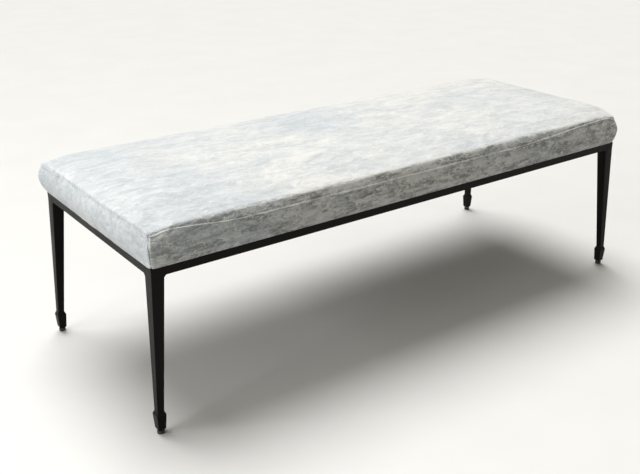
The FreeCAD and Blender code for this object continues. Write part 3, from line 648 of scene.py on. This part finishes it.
def cover_faces(along, across, ring, count):
    """Faces of the top grid and the rings down the side; the underside is still open."""
    faces = []
    for i in range(along - 1):
        for j in range(across - 1):
            corner = i * across + j
            faces.append((corner, corner + across, corner + across + 1, corner + 1))
    size = len(ring)
    rows = [list(ring)]
    first = along * across
    while first + size <= count:
        rows.append(list(range(first, first + size)))
        first += size
    for upper, lower in zip(rows, rows[1:]):
        for k in range(size):
            after = (k + 1) % size
            faces.append((upper[k], lower[k], lower[after], upper[after]))
    return faces


def swell_cover(piece, cushion, held):
    """Lets the filling press the cover out in a short cloth simulation, within a small cap."""
    rest = np.empty(len(piece.data.vertices) * 3)
    piece.data.vertices.foreach_get("co", rest)
    _, outward = read_points(piece)
    group = piece.vertex_groups.new(name="held_to_deck")
    group.add([int(index) for index in held], 1.0, "REPLACE")
    cloth = piece.modifiers.new("filling", "CLOTH")
    settings = cloth.settings
    settings.quality = 5
    settings.mass = 0.4
    settings.tension_stiffness = 20
    settings.compression_stiffness = 20
    settings.shear_stiffness = 8
    settings.bending_stiffness = 1.5
    settings.use_pressure = True
    settings.uniform_pressure_force = 4
    settings.effector_weights.gravity = 0
    settings.vertex_group_mass = group.name
    settings.shrink_min = -0.004
    cloth.point_cache.frame_start = 1
    cloth.point_cache.frame_end = SWELL_FRAMES
    scene = bpy.context.scene
    for number in range(1, SWELL_FRAMES + 1):
        scene.frame_set(number)
    make_active(piece)
    bpy.ops.object.modifier_apply(modifier=cloth.name)
    moved = np.empty_like(rest)
    piece.data.vertices.foreach_get("co", moved)
    shift = (moved - rest).reshape(-1, 3)
    inward = np.minimum((shift * outward).sum(1), 0)
    shift -= INWARD_HELD * inward[:, None] * outward
    size = np.linalg.norm(shift, axis=1)
    cap = cushion.swell
    shift *= (cap * np.tanh(size / cap) / np.maximum(size, 1e-9))[:, None]
    piece.data.vertices.foreach_set("co", rest + shift.reshape(-1))
    scene.frame_set(1)
    piece.vertex_groups.clear()


def read_points(piece):
    """A piece's points and normals as arrays."""
    count = len(piece.data.vertices)
    places, normals = np.empty(count * 3), np.empty(count * 3)
    piece.data.vertices.foreach_get("co", places)
    piece.data.vertices.foreach_get("normal", normals)
    return places.reshape(-1, 3), normals.reshape(-1, 3)


def sculpt_cover(piece, cushion):
    """Raises the seam and presses in its groove, the corner joins, the creases and the uneven filling."""
    places, normals = read_points(piece)
    above = np.empty(len(places))
    piece.data.attributes["above_seam"].data.foreach_get("value", above)
    x, y, z = places.T
    up = z - FRAME_TOP
    on_cover = above > COVER_LIMIT
    push = np.zeros(len(places))
    push += cushion.ridge * np.exp(-(above / 0.0013) ** 2)
    push -= cushion.groove * np.exp(-((above - 0.0034) / 0.0017) ** 2)
    push -= 0.0002 * np.exp(-((above + 0.0035) / 0.002) ** 2)
    uneven = np.array([
        0.0016 * noise.noise(Vector((3.1 * a, 6.3 * b, 9 * c)))
        + 0.0009 * noise.noise(Vector((11 * a, 17 * b, 31 * c)))
        for a, b, c in places
    ])
    away_from_fold = np.clip(up / 0.012, 0, 1)
    push += uneven * away_from_fold
    corner = np.hypot(np.abs(x) - cushion.half_length, np.abs(y) - cushion.half_width)
    turn = np.abs((np.abs(x) - cushion.half_length) - (np.abs(y) - cushion.half_width))
    join = np.exp(-(turn / 0.0022) ** 2) * (corner < 0.03) * (above < 0.001)
    push -= 0.0008 * join
    push += 0.0004 * np.exp(-((turn - 0.006) / 0.003) ** 2) * (corner < 0.03) * (above < 0.001)
    push -= press_creases(places, cushion)
    push *= on_cover
    places += normals * push[:, None]
    piece.data.vertices.foreach_set("co", places.reshape(-1))
    piece.data.update()


CREASES = (
    ("end", -0.036, 0.087, -0.012, 0.062, 0.0011),
    ("end", -0.050, 0.086, -0.034, 0.066, 0.0007),
    ("end", -0.090, 0.087, -0.073, 0.060, 0.0009),
    ("end", -0.145, 0.089, -0.137, 0.057, 0.0013),
    ("end", -0.158, 0.090, -0.150, 0.064, 0.0009),
    ("end", -0.190, 0.095, -0.168, 0.066, 0.0012),
    ("end", 0.060, 0.086, 0.078, 0.064, 0.0009),
    ("end", 0.150, 0.087, 0.160, 0.060, 0.0010),
    ("front", -0.722, 0.060, -0.686, 0.083, 0.0016),
)


def press_creases(places, cushion):
    """Depth of the short creases that cross the seams where the cover was pulled tight."""
    x, y, z = places.T
    up = z - FRAME_TOP
    depth = np.zeros(len(places))
    for side, start, start_up, stop, stop_up, deep in CREASES:
        for flip in (-1, 1):
            if side == "end":
                across, near = y * -flip, flip * x > cushion.half_length - 0.02
            else:
                across, near = x * -flip, flip * y > cushion.half_width - 0.02
            run = np.array([stop - start, stop_up - start_up])
            size = math.hypot(*run)
            run = run / size
            along = (across - start) * run[0] + (up - start_up) * run[1]
            beside = -(across - start) * run[1] + (up - start_up) * run[0]
            fade = step_between(along, -0.008, 0.006) * (1 - step_between(along, size - 0.006, size + 0.008))
            valley = np.exp(-(beside / 0.0022) ** 2) - 0.6 * np.exp(-((beside - 0.005) / 0.003) ** 2)
            depth += near * deep * fade * valley
    return depth


class BENCH_OT_cushion_cover(bpy.types.Operator):
    """Makes the crowned, boxed cushion with its dipping seams and gives it its velvet"""
    bl_idname = "bench.cushion_cover"
    bl_label = "Cushion cover"

    def execute(self, context):
        cushion = context.scene.bench_cushion
        clear_selection()
        points, above, along, across, ring = cover_points(cushion)
        mesh = bpy.data.meshes.new("velvet_cushion")
        mesh.from_pydata(points.tolist(), [], cover_faces(along, across, ring, len(points)))
        mesh.attributes.new("above_seam", "FLOAT", "POINT").data.foreach_set("value", above)
        piece = bpy.data.objects.new("velvet_cushion", mesh)
        context.collection.objects.link(piece)
        fold = sum(above > COVER_LIMIT)
        lowest_ring = fold - len(ring)
        swell_cover(piece, cushion, range(lowest_ring, len(points)))
        smooth = piece.modifiers.new("finer", "SUBSURF")
        smooth.levels = 1
        smooth.render_levels = 1
        make_active(piece)
        bpy.ops.object.modifier_apply(modifier=smooth.name)
        bpy.ops.object.mode_set(mode="EDIT")
        bpy.ops.mesh.select_mode(type="EDGE")
        bpy.ops.mesh.select_all(action="DESELECT")
        bpy.ops.mesh.select_non_manifold()
        bpy.ops.mesh.edge_face_add()
        bpy.ops.mesh.select_all(action="SELECT")
        bpy.ops.mesh.normals_make_consistent(inside=False)
        bpy.ops.object.mode_set(mode="OBJECT")
        sculpt_cover(piece, cushion)
        bpy.ops.object.shade_smooth()
        piece.data.materials.append(velvet_finish(cushion))
        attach(piece, "bench")
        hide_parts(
            "cover_top", "boxing_front", "boxing_back", "boxing_left", "boxing_right",
            "fibre_wrap", "foam_core")
        return {"FINISHED"}


class BENCH_OT_dust_cloth(bpy.types.Operator):
    """Stretches the black cloth under the seat, sagging a little between the cross bars"""
    bl_idname = "bench.dust_cloth"
    bl_label = "Dust cloth"

    def execute(self, context):
        low, high = Vector(CLOTH_LOW), Vector(CLOTH_HIGH)
        size = high - low
        clear_selection()
        bpy.ops.mesh.primitive_grid_add(
            x_subdivisions=96, y_subdivisions=36, size=1, location=(low + high) / 2)
        piece = context.object
        piece.name = "stretched_dust_cloth"
        piece.scale = (size.x, size.y, 1)
        bpy.ops.object.transform_apply(location=True, rotation=True, scale=True)
        places, _ = read_points(piece)
        x, y, _ = places.T
        bays = [(low.x, -BAR_OUTER), (-BAR_INNER, BAR_INNER), (BAR_OUTER, high.x)]
        hang = sum(
            np.where(
                (x > left) & (x < right),
                np.sin(math.pi * np.clip((x - left) / (right - left), 0, 1)), 0) ** 2
            for left, right in bays)
        across = np.clip((y - low.y) / size.y, 0.0001, 0.9999)
        places[:, 2] -= CLOTH_SAG * hang * np.sin(math.pi * across) ** 1.5
        piece.data.vertices.foreach_set("co", places.reshape(-1))
        thick = piece.modifiers.new("thickness", "SOLIDIFY")
        thick.thickness = size.z
        thick.offset = 0
        bpy.ops.object.modifier_apply(modifier=thick.name)
        bpy.ops.object.shade_smooth_by_angle(angle=0.6)
        piece.data.materials.append(dust_cloth_finish(context.scene.bench_colours))
        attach(piece, "bench")
        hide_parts("dust_cover")
        return {"FINISHED"}


class BENCH_OT_legs(bpy.types.Operator):
    """Models the four tapered legs, leaning outwards, with paint-softened edges"""
    bl_idname = "bench.legs"
    bl_label = "Tapered legs"

    def execute(self, context):
        leg = context.scene.bench_legs
        x = FRAME_LEFT + leg.head / 2
        y = FRAME_FRONT + leg.head / 2
        shoulder = FRAME_TOP - leg.head_depth
        start_block("painted_leg", leg.head, FRAME_TOP, shoulder, x, y)
        draw_down(shoulder - leg.neck_level, leg.neck / leg.head, -leg.foot_x - x, -leg.foot_y - y)
        finish_edges(leg.soft_edge)
        put_at_corners(
            context.object, "painted_leg", "bench", "leg_{}",
            paint_finish(context.scene.bench_colours))
        return {"FINISHED"}


class BENCH_OT_spade_feet(bpy.types.Operator):
    """Models the four faceted spade feet as closed blocks, which the glides' studs pass into"""
    bl_idname = "bench.spade_feet"
    bl_label = "Spade feet"

    def execute(self, context):
        leg = context.scene.bench_legs
        start_block(
            "painted_foot", leg.neck, leg.neck_level, leg.neck_level - FOOT_COLLAR, -leg.foot_x, -leg.foot_y)
        draw_down(leg.neck_level - FOOT_COLLAR - leg.shoulder_level, leg.shoulder / leg.neck)
        draw_down(leg.shoulder_level - leg.toe_level, leg.toe / leg.shoulder)
        draw_down(leg.toe_level - leg.sole_level, leg.sole / leg.toe)
        bpy.ops.mesh.select_all(action="SELECT")
        bpy.ops.mesh.dissolve_limited(angle_limit=0.01)
        finish_edges(FOOT_EDGE)
        put_at_corners(
            context.object, "painted_foot", "bench", "spade_foot_{}",
            bpy.data.materials["bronze_paint"])
        return {"FINISHED"}


class BENCH_OT_glides(bpy.types.Operator):
    """Models the four glide discs that screw out of the feet"""
    bl_idname = "bench.glides"
    bl_label = "Glide discs"

    def execute(self, context):
        leg = context.scene.bench_legs
        clear_selection()
        bpy.ops.mesh.primitive_cylinder_add(
            vertices=GLIDE_SIDES, radius=leg.disc / 2, depth=leg.disc_height,
            location=(-leg.foot_x, -leg.foot_y, leg.disc_height / 2))
        bpy.ops.object.transform_apply(location=True, rotation=True, scale=True)
        bpy.ops.object.mode_set(mode="EDIT")
        pick_faces(lambda middle, normal: normal.z > 0.9)
        bpy.ops.mesh.inset(thickness=GLIDE_RIM, depth=GLIDE_RISE)
        finish_edges(GLIDE_EDGE, sharp_only=True)
        put_at_corners(
            context.object, "moulded_glide", "glide_disc_{}", "glide_disc_{}",
            plastic_finish(context.scene.bench_colours))
        return {"FINISHED"}


class BENCH_OT_finishes(bpy.types.Operator):
    """Gives the rails, bars, tabs, welds, deck, bolts, nuts, staples and studs their finishes"""
    bl_idname = "bench.finishes"
    bl_label = "Frame and fixings"

    def execute(self, context):
        colours = context.scene.bench_colours
        steel = steel_finish(colours)
        plywood = plywood_finish(colours)
        paint = bpy.data.materials["bronze_paint"]
        corners = tuple(CORNERS)
        painted = ["front_rail", "back_rail", "left_rail", "right_rail", "cross_bar_left", "cross_bar_right"]
        painted += ["corner_welds"] + [f"corner_tab_{corner}" for corner in corners]
        plated = ["seat_bolts", "deck_nuts", "cover_staples", "dust_cover_staples"]
        plated += [f"glide_stud_{corner}" for corner in corners]
        for names, finish in ((painted, paint), (plated, steel), (["seat_deck"], plywood)):
            for name in names:
                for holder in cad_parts[name].material_slots:
                    holder.material = finish
                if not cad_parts[name].material_slots:
                    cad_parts[name].data.materials.append(finish)
        return {"FINISHED"}


def add_lamp(name, size, place, aim, power, tint):
    """A large soft lamp aimed at a point."""
    light = bpy.data.lights.new(name, "AREA")
    light.shape = "RECTANGLE"
    light.size, light.size_y = size
    light.energy = power
    light.color = tint
    lamp = bpy.data.objects.new(name, light)
    lamp.location = place
    lamp.rotation_euler = (Vector(aim) - Vector(place)).to_track_quat("-Z", "Y").to_euler()
    bpy.context.collection.objects.link(lamp)


def soft_room(stage):
    """A world that lights softly and warmly, and looks pale where it is seen or mirrored."""
    world = bpy.data.worlds.new("soft_room")
    world.use_nodes = True
    tree = world.node_tree
    light = tree.nodes["Background"]
    light.inputs["Color"].default_value = WARM_FILL
    light.inputs["Strength"].default_value = stage.fill
    pale = tree.nodes.new("ShaderNodeBackground")
    pale.inputs["Color"].default_value = PALE_BACKDROP
    path = tree.nodes.new("ShaderNodeLightPath")
    choose = path.outputs["Is Camera Ray"]
    for name in ("Is Glossy Ray", "Is Transmission Ray"):
        either = tree.nodes.new("ShaderNodeMath")
        either.operation = "MAXIMUM"
        tree.links.new(choose, either.inputs[0])
        tree.links.new(path.outputs[name], either.inputs[1])
        choose = either.outputs[0]
    mix = tree.nodes.new("ShaderNodeMixShader")
    tree.links.new(choose, mix.inputs[0])
    tree.links.new(light.outputs[0], mix.inputs[1])
    tree.links.new(pale.outputs[0], mix.inputs[2])
    tree.links.new(mix.outputs[0], tree.nodes["World Output"].inputs[0])
    return world


class BENCH_OT_stage(bpy.types.Operator):
    """Makes the pale floor, the soft lamps and the camera"""
    bl_idname = "bench.stage"
    bl_label = "Floor, lamps and camera"

    def execute(self, context):
        stage = context.scene.bench_stage
        clear_selection()
        bpy.ops.mesh.primitive_plane_add(size=60, location=(0, 0, 0))
        floor = context.object
        floor.name = "plain_floor"
        finish = Finish("plain_floor")
        seen = finish.add("ShaderNodeLightPath", {}, {}, "Is Camera Ray")
        mirrored = finish.add("ShaderNodeLightPath", {}, {}, "Is Glossy Ray")
        mottle = finish.ramp(finish.grain(4, detail=4), (0.3, 0.97), (0.7, 1.0))
        pale = finish.mix(mottle, (0, 0, 0), tuple(stage.floor))
        floor.data.materials.append(
            finish.surface(Base_Color=finish.mix(seen + mirrored, FLOOR_AS_LIT, pale), Roughness=0.8))
        overhead = bpy.data.lights.new("top_lamp", "SUN")
        overhead.energy = stage.key
        overhead.angle = SUN_SPREAD
        overhead.color = SUN_TINT
        top_lamp = bpy.data.objects.new("top_lamp", overhead)
        top_lamp.rotation_euler = Vector(SUN_DIRECTION).to_track_quat("Z", "Y").to_euler()
        context.collection.objects.link(top_lamp)
        add_lamp("end_lamp", END_LAMP_SIZE, END_LAMP_PLACE, END_LAMP_AIM, stage.side, END_LAMP_TINT)
        context.scene.world = soft_room(stage)
        camera = bpy.data.cameras.new("photo_camera")
        camera.sensor_width = 36
        camera.lens = stage.lens
        viewer = bpy.data.objects.new("photo_camera", camera)
        viewer.location = CAMERA_PLACE
        viewer.rotation_euler = (Vector(CAMERA_AIM) - viewer.location).to_track_quat("-Z", "Y").to_euler()
        context.collection.objects.link(viewer)
        context.scene.camera = viewer
        context.scene.view_settings.view_transform = "Standard"
        return {"FINISHED"}


class BENCH_PT_panel(bpy.types.Panel):
    """Lists the bench's pieces and their sizes"""
    bl_idname = "BENCH_PT_panel"
    bl_label = "Upholstered bench"
    bl_space_type = "VIEW_3D"
    bl_region_type = "UI"
    bl_category = "Bench"

    def draw(self, context):
        for operator in OPERATORS:
            self.layout.operator(operator.bl_idname)
        for group in SIZE_GROUPS:
            values = getattr(context.scene, group)
            for name in values.bl_rna.properties.keys():
                if name not in ("rna_type", "name"):
                    self.layout.prop(values, name)


OPERATORS = (
    BENCH_OT_cushion_cover, BENCH_OT_dust_cloth, BENCH_OT_legs, BENCH_OT_spade_feet,
    BENCH_OT_glides, BENCH_OT_finishes, BENCH_OT_stage,
)
SIZE_GROUPS = {
    "bench_cushion": CushionSizes,
    "bench_legs": LegSizes,
    "bench_colours": FinishColours,
    "bench_stage": StageSettings,
}


def register():
    """Makes the sizes, operators and panel known to Blender."""
    for name, group in SIZE_GROUPS.items():
        bpy.utils.register_class(group)
        setattr(bpy.types.Scene, name, PointerProperty(type=group))
    for kind in (*OPERATORS, BENCH_PT_panel):
        bpy.utils.register_class(kind)


def unregister():
    """Takes them out again."""
    for kind in (BENCH_PT_panel, *reversed(OPERATORS)):
        bpy.utils.unregister_class(kind)
    for name, group in SIZE_GROUPS.items():
        delattr(bpy.types.Scene, name)
        bpy.utils.unregister_class(group)


def main():
    register()
    bpy.ops.bench.stage()
    bpy.ops.bench.legs()
    bpy.ops.bench.spade_feet()
    bpy.ops.bench.glides()
    bpy.ops.bench.finishes()
    bpy.ops.bench.dust_cloth()
    bpy.ops.bench.cushion_cover()


if __name__ == "__main__":
    main()
